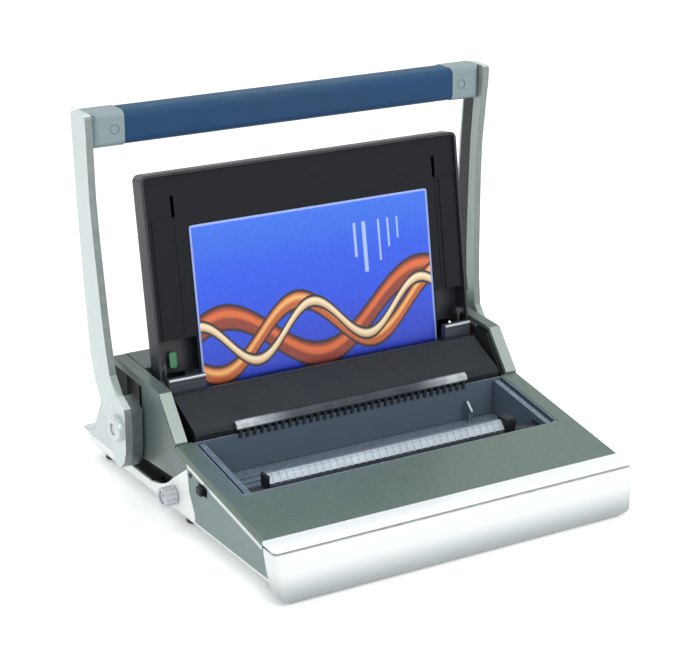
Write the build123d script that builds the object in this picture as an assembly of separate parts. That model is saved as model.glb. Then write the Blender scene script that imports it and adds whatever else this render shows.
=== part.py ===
from build123d import *
import os
import math

# Manual wire binding machine: a low wedge body with a sunken wire-closing well, a raised punch
# housing between two side cheeks, a hinged tray lid and a full-width punching handle.
# Working frame: X across the machine, +Y to the back, +Z up, millimetres, z = 0 on the table.
# All pieces are shifted by -Y_MID on export so that the origin is the bottom centre.

os.makedirs("parts", exist_ok=True)

# ---- driving dimensions -------------------------------------------------------------------
HALF_W = 214.0          # half width of the body
Y_FRONT = -214.0        # front of the fascia
Y_REAR = 238.0          # back of the base
Y_MID = (Y_FRONT + Y_REAR) / 2
FOOT_H = 9.0            # gap under the base, filled by the feet
BASE_TOP = 32.0         # rim of the base tray
WALL = 3.0

DECK_Y0, DECK_Z0 = -184.0, 60.0     # front edge of the sloping deck
DECK_Y1, DECK_Z1 = 2.0, 93.0        # rear edge of the sloping deck
EAR_Y, EAR_Z = 38.0, 137.5          # front top edge of a cheek
ROOF_Y, ROOF_Z = 150.0, 147.0       # rear top edge of the housing
EAR_IN = 199.0                      # inner face of a cheek
WELL_X, WELL_Y0 = 194.0, -107.0     # well opening in the deck
WELL_FLOOR = 50.0

SHAFT_Y, SHAFT_Z, SHAFT_R = 90.0, 87.0, 8.0     # handle shaft
HANDLE_SWING = 95.0                 # degrees of handle travel
DIAL_Y, DIAL_Z, DIAL_R = 5.0, 37.5, 10.5        # wire size dial
FLANGE = 5.0                        # depth of the deck's side flanges
ARM_X0, ARM_X1 = 228.5, 236.5       # flat handle arms at the hub
ARM_FLARE, ARM_BEND_Z = 2.44, 140.0 # the arms lean outwards above the bend, degrees
GRIP_HALF = 202.0                   # half length of the soft grip
BAR_Y, BAR_Z, BAR_R = 140.5, 399.8, 18.6        # handle crossbar

LID_Y, LID_Z = 84.0, 146.0          # lid hinge axis
LID_LEAN = 9.0                      # lid leans back this far past upright
LID_X0, LID_X1 = -194.0, 196.5     # the lid fills the gap between the cheeks
LID_LEN = 206.0
LID_BACK, LID_FRONT = -14.1, 9.9    # lid depth either side of the hinge axis

PITCH = 25.4 / 3.0                  # three holes to the inch
N_HOLES = 34
PIN = 4.0                           # square punch pins
PUNCH_TRAVEL = 9.0
CLOSE_TRAVEL = 8.0
CAM_R0 = 10.0
BAR_X = -9.0            # the closing bar and its anvil sit left of centre


def deck_z(y):
    return DECK_Z0 + (y - DECK_Y0) * (DECK_Z1 - DECK_Z0) / (DECK_Y1 - DECK_Y0)


# ---- helpers ------------------------------------------------------------------------------
def face_yz(pts, r=0.0):
    f = make_face(Polyline(*pts, close=True))
    if r:
        f = fillet(f.vertices(), r)
    return f


def prism(pts, x0, x1, r=0.0):
    return extrude(Plane.YZ.offset(x0) * face_yz(pts, r), amount=x1 - x0)


def box(x0, x1, y0, y1, z0, z1, r=0.0, axis=None):
    b = Pos((x0 + x1) / 2, (y0 + y1) / 2, (z0 + z1) / 2) * Box(x1 - x0, y1 - y0, z1 - z0)
    if r:
        e = b.edges() if axis is None else b.edges().filter_by(axis)
        b = fillet(e, r)
    return b


def cylx(x0, x1, y, z, r):
    return extrude(Plane.YZ.offset(x0) * (Pos(y, z) * Circle(r)), amount=x1 - x0)


def cyly(x, y0, y1, z, r):
    return Pos(x, (y0 + y1) / 2, z) * Rot(90, 0, 0) * Cylinder(r, y1 - y0)


def cylz(x, y, z0, z1, r):
    return Pos(x, y, (z0 + z1) / 2) * Cylinder(r, z1 - z0)


def soften(shape, edges, r):
    try:
        s = fillet(edges, r)
        if s.is_valid:
            return s
    except Exception:
        pass
    return shape


def mir(shape):
    return mirror(shape, about=Plane.YZ)


def solids_of(items):
    out = []
    for i in items:
        out += list(i.solids())
    return out


written = []


def put(name, *items):
    s = [Pos(0, -Y_MID, 0) * x for x in solids_of(items)]
    shape = s[0] if len(s) == 1 else Compound(children=s)
    export_step(shape, f"parts/{name}.step")
    written.append(name)


# ---- base tray: low moulded pan with sides that draw in towards the table --------------------
def pan(x_bot, x_top, y0b, y1b, y0t, y1t, z0, z1, z2, rb, rt):
    bot = Plane.XY.offset(z0) * (Pos(0, (y0b + y1b) / 2) * RectangleRounded(2 * x_bot, y1b - y0b, rb))
    top = Plane.XY.offset(z1) * (Pos(0, (y0t + y1t) / 2) * RectangleRounded(2 * x_top, y1t - y0t, rt))
    body = loft([bot.faces()[0], top.faces()[0]])
    return body + extrude(top, amount=z2 - z1)


outer = pan(202, HALF_W, -192, 228, -196, Y_REAR, FOOT_H, 24, BASE_TOP, 10, 18)
inner = pan(199.5, HALF_W - WALL, -189, 225, -193, Y_REAR - WALL, FOOT_H + 2.5, 24, BASE_TOP + 1, 8, 15)
base = outer - inner
# side walls sweep up to the deck in front of the handle hubs
swoop = [(-39.8, BASE_TOP - 2), (-39.8, BASE_TOP), (-28.2, 53), (-24.9, 77.1), (7.9, 55.4), (17, 48.2), (27, 42.0), (40, 36.6), (60, BASE_TOP), (60, BASE_TOP - 2)]
wall_r = prism(swoop, HALF_W - WALL, HALF_W)
base = base + wall_r + mir(wall_r)
# pocket in the right wall for the waste drawer
base -= box(180, 230, 18, 82, 11.5, BASE_TOP + 0.4)
# the side panels reach down over the front part of the side walls
for a, b in ((210.5, 216.0), (-216.0, -210.5)):
    base -= box(a, b, -197.5, -40.1, 24.0, 34.0)
# hole for the dial boss in the left wall
base -= cylx(-220, -200, DIAL_Y, DIAL_Z, 5.5)
# screw posts
for x in (-150, 150):
    for y in (-160, 205):
        base += cylz(x, y, FOOT_H + 1, 29, 6) - cylz(x, y, FOOT_H + 6, 30, 2)
put("base_tray", base)

# ---- rubber feet and their screws ----------------------------------------------------------------
feet, foot_screws = [], []
for x in (-189, 189):
    for y in (-172, 10, 212):
        f = extrude(Plane.XY * (Pos(x, y) * Circle(9)), amount=FOOT_H, taper=-4)
        f = chamfer(f.faces().sort_by(Axis.Z)[0].edges(), 0.8)
        f = f - cylz(x, y, 0, 3.2, 3.5) - cylz(x, y, 0, FOOT_H, 1.6)
        feet.append(f)
        foot_screws.append(cylz(x, y, 1.4, 3.2, 3.2) + cylz(x, y, 3.2, FOOT_H, 1.5) - box(x - 2.4, x + 2.4, y - 0.4, y + 0.4, 1.4, 2.2))
put("rubber_feet", *feet)
put("foot_screws", *foot_screws)

# ---- front fascia: bowed white bumper below the parting line -------------------------------------------
fas_out = [(-183, 53.6), (-196, 53.6), (-203, 53.9), (-207.6, 52.4), (-211.5, 47.5), (-214, 38.0), (-214, 12.0), (-213.0, 5.0), (-209.5, 1.2), (-183, 1.2)]
fas_in = [(-182, 50.6), (-203, 50.9), (-206.2, 49.8), (-208.8, 46.0), (-211, 37.4), (-211, 12.5), (-210.2, 6.6), (-208.0, 4.2), (-182, 4.2)]


def rounded_plan(half, y0, r, z0=-5, z1=70):
    # plan outline with rounded front corners
    return extrude(Plane.XY.offset(z0) * (Pos(0, y0 + 100) * RectangleRounded(2 * half, 200, r)), amount=z1 - z0)


def rounded_front(half, z0, r):
    # front outline with rounded lower corners
    return Pos(0, -150, z0 + 50) * Rot(90, 0, 0) * extrude(RectangleRounded(2 * half, 100, r), amount=100)


fo = prism(fas_out, -HALF_W, HALF_W) & rounded_plan(HALF_W, Y_FRONT, 9.0) & rounded_front(HALF_W, 1.2, 20.0)
fi = prism(fas_in, -HALF_W + WALL, HALF_W - WALL) & rounded_plan(HALF_W - WALL, Y_FRONT + WALL, 6.0) & rounded_front(HALF_W - WALL, 4.2, 17.0)
fascia = fo - fi
# its ends wrap round the sides up to a slanting edge
fascia -= box(-210.9, 210.9, -197.5, -180, 0, 60)
fascia -= prism([(-184.4, 60), (-184.4, 54), (-185.4, 50), (-186.9, 44.6), (-190.9, 32.5), (-194.6, 24.2), (-197.5, 18), (-197.5, 0), (-170, 0), (-170, 60)], -300, 300)
put("front_fascia", fascia)

# ---- nose trim: white strip between the deck and the parting line ----------------------------------------
nose_out = [(DECK_Y0, DECK_Z0 - 4), (DECK_Y0, DECK_Z0), (-193, 59.3), (-200, 58.0), (-204.6, 56.6), (-207.0, 54.9), (-203, 54.9), (-198.5, 55.2), (-192, 56.0)]
nose = prism(nose_out, -HALF_W, HALF_W) & rounded_plan(HALF_W, -207.0, 6.0)
put("nose_trim", nose)

# ---- sloping deck with the well opening -----------------------------------------------------------------------
t = 3.0
deck = prism([(DECK_Y0, DECK_Z0), (DECK_Y1, DECK_Z1), (DECK_Y1, DECK_Z1 - FLANGE), (DECK_Y0, DECK_Z0 - FLANGE)], -HALF_W, HALF_W)
deck = soften(deck, deck.edges().filter_by(lambda e: abs(e.center().X) > HALF_W - 1 and e.length > 150 and e.center().Z > 75), 3.0)
deck -= prism([(DECK_Y0 - 1, DECK_Z0 - t), (DECK_Y1 + 1, DECK_Z1 - t), (DECK_Y1 + 1, DECK_Z1 - 20), (DECK_Y0 - 1, DECK_Z0 - 20)], -HALF_W + 4.6, HALF_W - 4.6)
opening = box(-WELL_X, WELL_X, WELL_Y0, 20, 40, 120)
opening = soften(opening, opening.edges().filter_by(Axis.Z).group_by(Axis.Y)[0], 5.0)
deck -= opening
put("deck_cover", deck)

# ---- side panels ---------------------------------------------------------------------------------------------------
def side_panel(x0, x1):
    pts = [(-183.6, deck_z(-183.6) - 10.0), (-185.1, 50.0), (-186.6, 44.6), (-190.6, 32.5), (-194.3, 24.2), (-40.3, 24.2), (-40.3, BASE_TOP), (-28.7, 53), (-25.3, deck_z(-25.3) - 10.0)]
    return prism(pts, x0, x1)


lp = side_panel(-HALF_W, -HALF_W + 2.6)
lp -= box(-220, -200, -69, -49, 60.5, 71.5)      # slot of the margin lever
lp = lp - cylx(-220, -200, -32.5, 73.0, 1.7)
put("side_panel_left", lp)
rp = side_panel(HALF_W - 2.6, HALF_W)
rp = rp - cylx(200, 220, -32.5, 73.0, 1.7)
put("side_panel_right", rp)
scr = cylx(214, 215.2, -32.5, 73.0, 2.8) + cylx(207, 214, -32.5, 73.0, 1.6) - box(214.5, 216, -35, -30, 72.6, 73.4)
put("panel_screws", scr, mir(scr))
strip = prism([(-183.6, deck_z(-183.6) - FLANGE - 0.2), (-25.3, deck_z(-25.3) - FLANGE - 0.2), (-25.3, deck_z(-25.3) - 9.8), (-183.6, deck_z(-183.6) - 9.8)], HALF_W - 2.6, HALF_W + 0.4)
put("deck_edge_strips", strip, mir(strip))

# ---- well tray: dark liner sunk in the deck, with a stepped rim ---------------------------------------------------------
def sloped(x0, x1, y0, y1, drop, z_low):
    return prism([(y0, deck_z(y0) - drop), (y1, deck_z(y1) - drop), (y1, z_low), (y0, z_low)], x0, x1)


well = sloped(-WELL_X + 0.4, WELL_X - 0.4, WELL_Y0 + 0.4, 1.0, 0.6, WELL_FLOOR - 2.5)
well = soften(well, well.edges().filter_by(Axis.Z).group_by(Axis.Y)[0], 4.6)
# a narrow dark channel along each side, then a shallow ledge, then the deep well; a thin wall closes the rear
REAR_IN = -0.6
ledge = prism([(WELL_Y0 + 2.6, deck_z(WELL_Y0) + 20), (REAR_IN, deck_z(REAR_IN) + 20), (REAR_IN, deck_z(REAR_IN) - 2.8), (WELL_Y0 + 2.6, deck_z(WELL_Y0 + 2.6) - 2.8)], -WELL_X + 6.5, WELL_X - 6.5)
lower = prism([(WELL_Y0 + 4.5, 140), (REAR_IN, 140), (REAR_IN, WELL_FLOOR), (WELL_Y0 + 4.5, WELL_FLOOR)], -WELL_X + 13, WELL_X - 13)
well = well - ledge - lower
for a, b in ((WELL_X - 6.5, WELL_X - 2.6), (-WELL_X + 2.6, -WELL_X + 6.5)):
    well -= prism([(WELL_Y0 + 4.0, deck_z(WELL_Y0) + 20), (REAR_IN, deck_z(REAR_IN) + 20), (REAR_IN, deck_z(REAR_IN) - 8.0), (WELL_Y0 + 4.0, deck_z(WELL_Y0 + 4.0) - 8.0)], a, b)
# slots through the side walls for the closer carrier
for s in (-1, 1):
    a, b = sorted((s * 170, s * 200))
    well -= box(a, b, -103.5, -74, WELL_FLOOR + 5.5, WELL_FLOOR + 17.5)
# shallow ribs across the floor
for y in (-58, -46, -34, -22):
    well += box(-WELL_X + 13, WELL_X - 13, y - 0.8, y + 0.8, WELL_FLOOR - 1, WELL_FLOOR + 1.0)
put("well_tray", well)

# ---- wire closer: fixed anvil, moving ribbed bar on a carrier with two push rods -------------------------------------------
HL = PITCH * N_HOLES / 2            # half length of the toothed bars
anvil = prism([(-102.3, WELL_FLOOR), (-102.3, 71.0), (-99.5, 71.0), (-98.0, 66.0), (-98.0, 54.5), (-95.5, 52.0), (-95.5, WELL_FLOOR)], BAR_X - HL, BAR_X + HL)
put("closer_anvil", anvil)

bar = prism([(-88.5, 66.4), (-88.5, 70.5), (-84.5, 77.0), (-81.0, 79.0), (-77.4, 79.0), (-76.2, 77.6), (-76.2, 66.4)], BAR_X - HL, BAR_X + HL)
teeth = []
for i in range(N_HOLES):
    x = BAR_X + (i - (N_HOLES - 1) / 2) * PITCH
    teeth.append(prism([(-91, 68.9), (-88.1, 69.9), (-84.1, 76.5), (-80.9, 78.4), (-79.3, 79.2), (-79.3, 82), (-91, 82)], x - 0.8, x + 0.8))
bar = bar - teeth
put("closing_bar", bar)
put("closing_bar_ends", box(BAR_X + HL + 0.2, BAR_X + HL + 14.0, -90.3, -73.5, 66.4, 81.5, 1.6), box(BAR_X - HL - 4.0, BAR_X - HL - 0.2, -89.5, -75.5, 66.4, 79.6, 1.0))
put("closer_carrier", box(-208, 208, -87.5, -77.5, 57.0, 66.2, 1.0, Axis.X))
rods = []
for s in (-1, 1):
    a, b = sorted((s * 202.5, s * 208))
    r1 = prism([(-77.5, 57.2), (-77.5, 66.0), (48, 66.0), (58, 76.0), (58, 98.0), (SHAFT_Y - CAM_R0 - 0.25, 98.0), (SHAFT_Y - CAM_R0 - 0.25, 72.0), (66, 57.2)], a, b)
    rods.append(r1)
put("closer_push_rods", *rods)
put("wire_end_stop", box(141, 144, -12, -5, WELL_FLOOR, 66, 0) + prism([(-16, 61), (-3.6, 69), (-3.6, 74), (-6.4, 74), (-16, 65)], 141, 144))

# ---- punch housing front: sloping paper rest with the throat slot behind it ------------------------------------------------------
TX = 190.0
rest = prism([(2.0, 91.0), (2.0, 98.0), (6.0, 102.6), (12.0, 105.2), (52.4, 125.4), (55.6, 125.4), (55.6, 118.0), (53.6, 112.4), (24.0, 97.0), (10.0, 91.0)], -TX, TX)
put("paper_rest", rest)
rail = prism([(-3.2, 98.6), (-1.8, 102.8), (2.4, 105.2), (5.4, 105.0), (5.6, 102.8), (1.9, 98.2), (1.9, 96.4), (-2.6, 96.4)], -HL, HL)
comb = []
for i in range(N_HOLES):
    x = (i - (N_HOLES - 1) / 2) * PITCH
    comb.append(box(x - 1.6, x + 1.6, -3.0, -0.8, 88.0, 97.4))
put("wire_comb_rail", rail + comb)
# rear rail of the throat: full height at both ends, low in the middle where the lid's card hangs down
guide_rail = prism([(60.4, 119.0), (60.4, 138.0), (61.8, 140.5), (67.0, 140.5), (69.0, 138.5), (69.0, 112.4), (64.0, 112.4)], -TX, TX)
guide_rail -= box(-146.5, 156.5, 55, 75, 121.5, 145)
guide_rail -= box(-TX - 1, TX + 1, 59, 63.4, 137.0, 142)
guide_rail -= box(-TX - 1, TX + 1, 59, 61.2, 134.6, 136.0)
put("rear_guide_rail", guide_rail)
strips = []
for a, b in ((-TX + 0.2, -146.7), (156.7, TX - 0.2)):
    st = box(a, b, 60.0, 63.2, 137.1, 140.6)
    strips.append(fillet(st.edges().filter_by(Axis.X).group_by(Axis.Y)[0], 1.2))
put("rail_end_strips", *strips)

# ---- punch set: die plate, guide plate, square pins, pressure bar --------------------------------------------------------------------
def holes(y0, y1, half):
    return [box((i - (N_HOLES - 1) / 2) * PITCH - half, (i - (N_HOLES - 1) / 2) * PITCH + half, y0, y1, SHAFT_Z - half, SHAFT_Z + half) for i in range(N_HOLES)]


put("die_plate", box(-158, 158, 46, 56, 66, 106) - holes(45, 57, PIN / 2 + 0.1))
put("punch_guide_plate", box(-158, 158, 59, 64, 66, 106) - holes(58, 65, PIN / 2 + 0.1))
put("throat_spacer", box(-158, 158, 56, 59, 66, 106) - box(-150, 150, 55, 60, 82, 120))
BAR_REAR = SHAFT_Y - CAM_R0 - 0.25
put("punch_pins", *[box((i - (N_HOLES - 1) / 2) * PITCH - PIN / 2, (i - (N_HOLES - 1) / 2) * PITCH + PIN / 2, 60, BAR_REAR - 5.5, SHAFT_Z - PIN / 2, SHAFT_Z + PIN / 2) for i in range(N_HOLES)])
pbar = box(-178, 178, BAR_REAR - 5.5, BAR_REAR, 74, 100)
for s in (-1, 1):
    pbar -= cyly(s * 170, 60, 90, SHAFT_Z, 3.1)
put("pressure_bar", pbar)
put("punch_guides", *[box(*sorted((s * 160, s * 182)), 40, 50, 70, 100) + cyly(s * 170, 49, 79.4, SHAFT_Z, 3.0) for s in (-1, 1)])


def coil_y(x, y0, y1, z, r, wire, turns):
    h = Helix(pitch=(y1 - y0 - wire) / turns, height=(y1 - y0 - wire), radius=r)
    prof = Plane(origin=h @ 0, z_dir=h % 0) * Circle(wire / 2)
    c = sweep(prof, path=h, is_frenet=True)
    return Pos(x, y1 - wire / 2, z) * Rot(90, 0, 0) * c


put("return_springs", *[coil_y(s * 170, 50.05, BAR_REAR - 5.55, SHAFT_Z, 5.0, 1.0, 6) for s in (-1, 1)])

# ---- side frames, bearings, cross members -----------------------------------------------------------------------------------------------
SF0, SF1 = 184.0, 187.0
frame_pts = [(1.4, 20), (1.4, 86), (10, 91), (24, 97), (53.6, 112.4), (69.5, 112.4), (76, 125), (100, 125), (140, 118), (170, 60), (170, 20)]
frame = prism(frame_pts, SF0, SF1) - cylx(SF0 - 1, SF1 + 1, SHAFT_Y, SHAFT_Z, 12.0)
# upright tongue with the lid pivot
frame += prism([(76, 124), (78, 143), (79.5, 150), (82, 152), (86, 152), (88.5, 150), (90, 143), (92, 124)], SF0, SF1)
frame -= cylx(SF0 - 1, SF1 + 1, LID_Y, LID_Z, 2.5)
frame_r = frame - box(SF0 - 1, SF1 + 1, 20, 80, 10, 36)
put("side_frame_right", frame_r)
put("side_frame_left", mir(frame))
bush = cylx(SF0 - 3, SF1 + 3, SHAFT_Y, SHAFT_Z, 12.0) - cylx(SF0 - 4, SF1 + 4, SHAFT_Y, SHAFT_Z, SHAFT_R + 0.06)
bush += cylx(SF1, SF1 + 3, SHAFT_Y, SHAFT_Z, 15.0) - cylx(SF1 - 1, SF1 + 4, SHAFT_Y, SHAFT_Z, SHAFT_R + 0.06)
put("shaft_bushes", bush, mir(bush))
hinge_beam = box(-SF0, SF0, 78, 90, 109, 116)
put("frame_rails", hinge_beam, box(-SF0, SF0, 44, 52, 56, 64), box(-SF0, SF0, 150, 158, 40, 48), box(-SF0, SF0, 150, 158, 20, 28))

# ---- hub bay liners: black recess walls behind the handle hubs ----------------------------------------------------------------------------------
bay = prism([(-24, BASE_TOP), (-24, 79), (2, 84), (38, 131), (148, 139), (148, BASE_TOP)], 197, EAR_IN - 0.2)
bay = bay - box(190, 205, 79, 117, 40, 124)
bay = bay + box(EAR_IN - 0.2, 213, 62, 148, BASE_TOP + 0.3, BASE_TOP + 2.3)      # floor of the bay
put("bay_liners", bay, mir(bay) - cylx(-202, -190, DIAL_Y, DIAL_Z, 4.4))

# ---- cheeks (ears): hollow side covers that rise to the lid --------------------------------------------------------------------------------------------
ear_out = [(-24.8, 77.5), (-24.8, deck_z(-24.8) - FLANGE - 0.4), (DECK_Y1 + 0.2, DECK_Z1 - FLANGE - 0.4), (DECK_Y1 + 0.2, DECK_Z1 + 0.2), (EAR_Y, EAR_Z), (EAR_Y + 6, EAR_Z + 1.6), (ROOF_Y - 6, ROOF_Z - 1), (ROOF_Y, ROOF_Z - 4),
           (ROOF_Y, ROOF_Z - 9), (78, EAR_Z - 4.2), (78, 52.6), (8.2, 55.8)]
ear = prism(ear_out, EAR_IN, HALF_W)
ear_in = [(-40, 40), (-40, deck_z(-40) - FLANGE - 3.0), (DECK_Y1, DECK_Z1 - FLANGE - 3.0), (DECK_Y1 + 2.6, DECK_Z1 - 2.6), (EAR_Y + 1.4, EAR_Z - 3.2), (80, EAR_Z - 1.0), (80, 40)]
ear = ear - prism(ear_in, EAR_IN - 1, HALF_W - 2.5)
ear = soften(ear, ear.edges().filter_by(lambda e: abs(e.center().X - HALF_W) < 0.01 and e.center().Z > 136 and e.length > 60 and e.center().Y > 40), 2.4)
put("cheek_right", ear)
put("cheek_left", mir(ear))
# silver facing on the sloping front of each cheek
dy, dz = EAR_Y - DECK_Y1, EAR_Z - DECK_Z1
L = math.hypot(dy, dz)
nyy, nzz = -dz / L, dy / L
p0 = (DECK_Y1 + 1.0 * dy / L, DECK_Z1 + 1.0 * dz / L)
p1 = (EAR_Y - 0.6 * dy / L, EAR_Z - 0.6 * dz / L)
trim = prism([p0, p1, (p1[0] + 1.4 * nyy, p1[1] + 1.4 * nzz), (p0[0] + 1.4 * nyy, p0[1] + 1.4 * nzz)], EAR_IN + 0.6, HALF_W - 0.6)
# the trim stands on the cheek's slope
off = 0.55
trim = Pos(0, off * nyy, off * nzz) * trim
put("cheek_trims", trim, mir(trim))

# ---- rear housing: roof behind the lid and the sloping back -------------------------------------------------------------------------------------------------
roof = prism([(104, 137), (104, 142.4), (107, 144.0), (ROOF_Y - 4, ROOF_Z), (ROOF_Y, ROOF_Z - 2), (ROOF_Y, ROOF_Z - 6), (ROOF_Y - 5, ROOF_Z - 3.4), (108, 140.8), (107, 137)], -EAR_IN + 0.6, EAR_IN - 0.6)
back_out = [(ROOF_Y + 0.4, ROOF_Z - 2.2), (156, ROOF_Z - 8), (196, 62), (204, 50), (216, 41), (Y_REAR - 4, 37), (Y_REAR, BASE_TOP + 0.2), (Y_REAR - 3.4, BASE_TOP + 0.2), (Y_REAR - 5, 34.4), (215, 37.8), (201.6, 47.6), (193.4, 60.5), (153.4, ROOF_Z - 9.5), (ROOF_Y + 0.4, ROOF_Z - 6.2)]
back = prism(back_out, -HALF_W + 0.4, HALF_W - 0.4)
# trough behind the lid hinge that the card's foot swings through
def ring_pt(r, deg):
    return (LID_Y + r * math.cos(math.radians(deg)), LID_Z + r * math.sin(math.radians(deg)))


roof -= box(-148.5, 156.5, 100, 114.2, 130, 150)
arc_in = [ring_pt(29.6, -77.0 + i * 72.5 / 24) for i in range(25)]
arc_out = [ring_pt(31.4, -77.0 + i * 72.5 / 24) for i in range(25)]
roof += prism(arc_in + arc_out[::-1], -148.5, 156.5)
put("rear_roof", roof)
# end walls of the sloping back
endw = prism([(ROOF_Y + 0.4, ROOF_Z - 6), (153.2, ROOF_Z - 9.4), (193.2, 60.4), (201.5, 47.4), (214.5, 37.6), (233, 34.0), (233, BASE_TOP + 0.2), (ROOF_Y + 0.4, BASE_TOP + 0.2)], -HALF_W + 0.4, -HALF_W + 3.0)
put("rear_cover", back + endw + mir(endw))

# ---- lid hinge -------------------------------------------------------------------------------------------------------------------------------------------------
lid_plane = Plane(origin=(0, LID_Y, LID_Z), x_dir=(1, 0, 0), z_dir=(0, -math.cos(math.radians(LID_LEAN)), math.sin(math.radians(LID_LEAN))))
put("lid_hinge_pins", cylx(-190.8, -183.8, LID_Y, LID_Z, 2.5), cylx(183.8, LID_X1 - 3.2, LID_Y, LID_Z, 2.5))

# ---- lid: tray with a deep skirt, built in its own plane (x, u up the lid, w towards the front) ------------------------------------------------------------------------
def lbox(x0, x1, u0, u1, w0, w1):
    return Pos((x0 + x1) / 2, (u0 + u1) / 2, (w0 + w1) / 2) * Box(x1 - x0, u1 - u0, w1 - w0)


shell = lbox(LID_X0, LID_X1, -9, LID_LEN, LID_BACK, LID_FRONT)
shell = fillet(shell.edges().filter_by(Axis.Z).group_by(Axis.Y)[-1], 7.0)
shell = soften(shell, shell.faces().sort_by(Axis.Z)[0].edges().filter_by(lambda e: e.center().Y > 0), 4.0)
cav = lbox(LID_X0 + 3, LID_X1 - 3, -20, LID_LEN - 3, LID_BACK + 2.5, LID_FRONT + 5)
cav = fillet(cav.edges().filter_by(Axis.Z).group_by(Axis.Y)[-1], 4.5)
shell = shell - cav
for a, b in ((LID_X0 + 2.5, -187.4), (187.4, LID_X1 - 2.5)):
    shell = shell + extrude(Plane.YZ.offset(a) * Circle(5.5), amount=b - a)
    shell = shell - extrude(Plane.YZ.offset(a + 0.5 if a < 0 else a - 1) * Circle(2.56), amount=b - a + 0.5)
put("lid_shell", lid_plane * shell)
# inner panel near the front of the lid, with two open pockets that pass the ends of the rear rail
W0 = 5.0
liner = lbox(LID_X0 + 3.2, LID_X1 - 3.2, -13.5, LID_LEN - 3.2, W0, W0 + 1.6)
liner = fillet(liner.edges().filter_by(Axis.Z).group_by(Axis.Y)[-1], 4.6)
liner = liner - lbox(-200, -145.8, -20, 29.6, W0 - 1, W0 + 5) - lbox(156, 200, -20, 29.6, W0 - 1, W0 + 5)
liner = liner + lbox(-185, -167, 30.5, 157, W0 + 1.6, W0 + 2.8) + lbox(171, 189, 30.5, 157, W0 + 1.6, W0 + 2.8)
liner = liner - lbox(-161.5, -157.5, 158, 181.5, W0 - 1, W0 + 5) - lbox(163, 167, 158, 181.5, W0 - 1, W0 + 5)
liner = liner - lbox(-160.4, -159.0, 33, 158, W0 + 0.8, W0 + 5) - lbox(164.4, 165.8, 33, 158, W0 + 0.8, W0 + 5)
put("lid_liner", lid_plane * liner)
card = lbox(-143.6, 153.4, -26.7, 147.3, W0 + 1.6, W0 + 2.2)
put("guide_card", lid_plane * card)
put("lid_bumpers", *[lid_plane * (lbox(x - 7, x + 7, LID_LEN - 2.9, LID_LEN - 0.2, LID_FRONT, LID_FRONT + 1.6)) for x in (-148, 152)])
WB = LID_BACK + 2.5
clip = lbox(-174.2, -166.0, -3, 14, WB + 4.0, WB + 5.8)
clip = fillet(clip.edges().filter_by(lambda e: abs(e.length - 1.8) < 0.01), 2.5)
clip = clip + lbox(-173.0, -167.4, -1.6, 12.6, WB, WB + 4.0)
put("corner_clip", lid_plane * clip)

# ---- waste drawer, slides out of the right side ------------------------------------------------------------------------------------------------------------------------------------
dr = box(-150, 209.5, 22, 78, 12.2, 31) - box(-147.5, 207, 24.5, 75.5, 14.4, 40)
dr = dr + box(209.5, 214.0, 18.6, 81.4, 12.0, 31.8)
dr = dr - box(211.6, 216, 36, 64, 15, 27)
dr = dr + box(211.6, 213.6, 36, 64, 24.6, 27)
put("waste_drawer", dr)

# ---- wire size dial on the left side ------------------------------------------------------------------------------------------------------------------------------------------------------
dial = cylx(-229, -216, DIAL_Y, DIAL_Z, DIAL_R)
flutes = []
for i in range(12):
    a = math.radians(i * 30)
    flutes.append(cylx(-230, -218, DIAL_Y + (DIAL_R + 0.7) * math.cos(a), DIAL_Z + (DIAL_R + 0.7) * math.sin(a), 1.6))
dial = dial - flutes - cylx(-230, -227.4, DIAL_Y, DIAL_Z, 7.0)
dial = dial + cylx(-216, -196.6, DIAL_Y, DIAL_Z, 3.92) + cylx(-196.6, -194.4, DIAL_Y, DIAL_Z, 6.0)
dial = dial + box(-228.6, -227.3, DIAL_Y - 0.9, DIAL_Y + 0.9, DIAL_Z + 1, DIAL_Z + 7.2)
put("wire_size_dial", dial)
put("dial_boss", cylx(-215.6, -214, DIAL_Y, DIAL_Z, 7.0) + cylx(-214, -199.2, DIAL_Y, DIAL_Z, 5.4) - cylx(-216, -198, DIAL_Y, DIAL_Z, 4.0))

# ---- margin lever --------------------------------------------------------------------------------------------------------------------------------------------------------------------------------
lev = box(-211.1, -209.2, -67, -51, 58.5, 72.0) + box(-214.6, -211.1, -63, -55, 62.2, 69.8) + box(-219.5, -214.6, -64, -54, 61.4, 70.6, 1.6)
put("margin_lever", lev)

# ---- handle: flat arms, hubs, corner sockets, crossbar tube and grip -----------------------------------------------------------------------------------------------------------------------------------
front_edge = [(117.5, 419), (117.5, 402), (119.5, 378), (122.5, 330), (121.5, 290), (118.5, 240), (116, 203), (113, 171), (108, 140), (93, 121), (83, 116.5), (75.5, 112), (73, 106)]
hub_end = [(73.5, 66), (78, 52), (86, 43.5), (96, 41.5), (105, 47), (108, 58)]
back_edge = [(112, 78), (128, 98), (146, 122), (154.5, 150), (157, 235), (156.5, 330), (154, 390), (153, 419)]
arm_pts = front_edge + hub_end + back_edge
FLARE = Pos(ARM_X0, 0, ARM_BEND_Z) * Rot(0, ARM_FLARE, 0) * Pos(-ARM_X0, 0, -ARM_BEND_Z)
arm_plate = prism(arm_pts, ARM_X0, ARM_X1)
arm_low = arm_plate & box(220, 240, 0, 300, 0, ARM_BEND_Z)
arm_high = FLARE * (arm_plate & box(220, 240, 0, 300, ARM_BEND_Z, 500))
arm_high = soften(arm_high, arm_high.edges().filter_by(lambda e: e.center().Z > 417 and abs(e.length - 8) < 0.2), 5.0)
hub_pts = [(93, 121), (83, 116.5), (75.5, 112), (73, 106)] + hub_end + [(108, 100), (104, 112)]
arm = arm_low + arm_high + prism(hub_pts, 216.5, ARM_X0 + 1)
arm = arm - cylx(215, ARM_X1 + 1, SHAFT_Y, SHAFT_Z, SHAFT_R)
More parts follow.
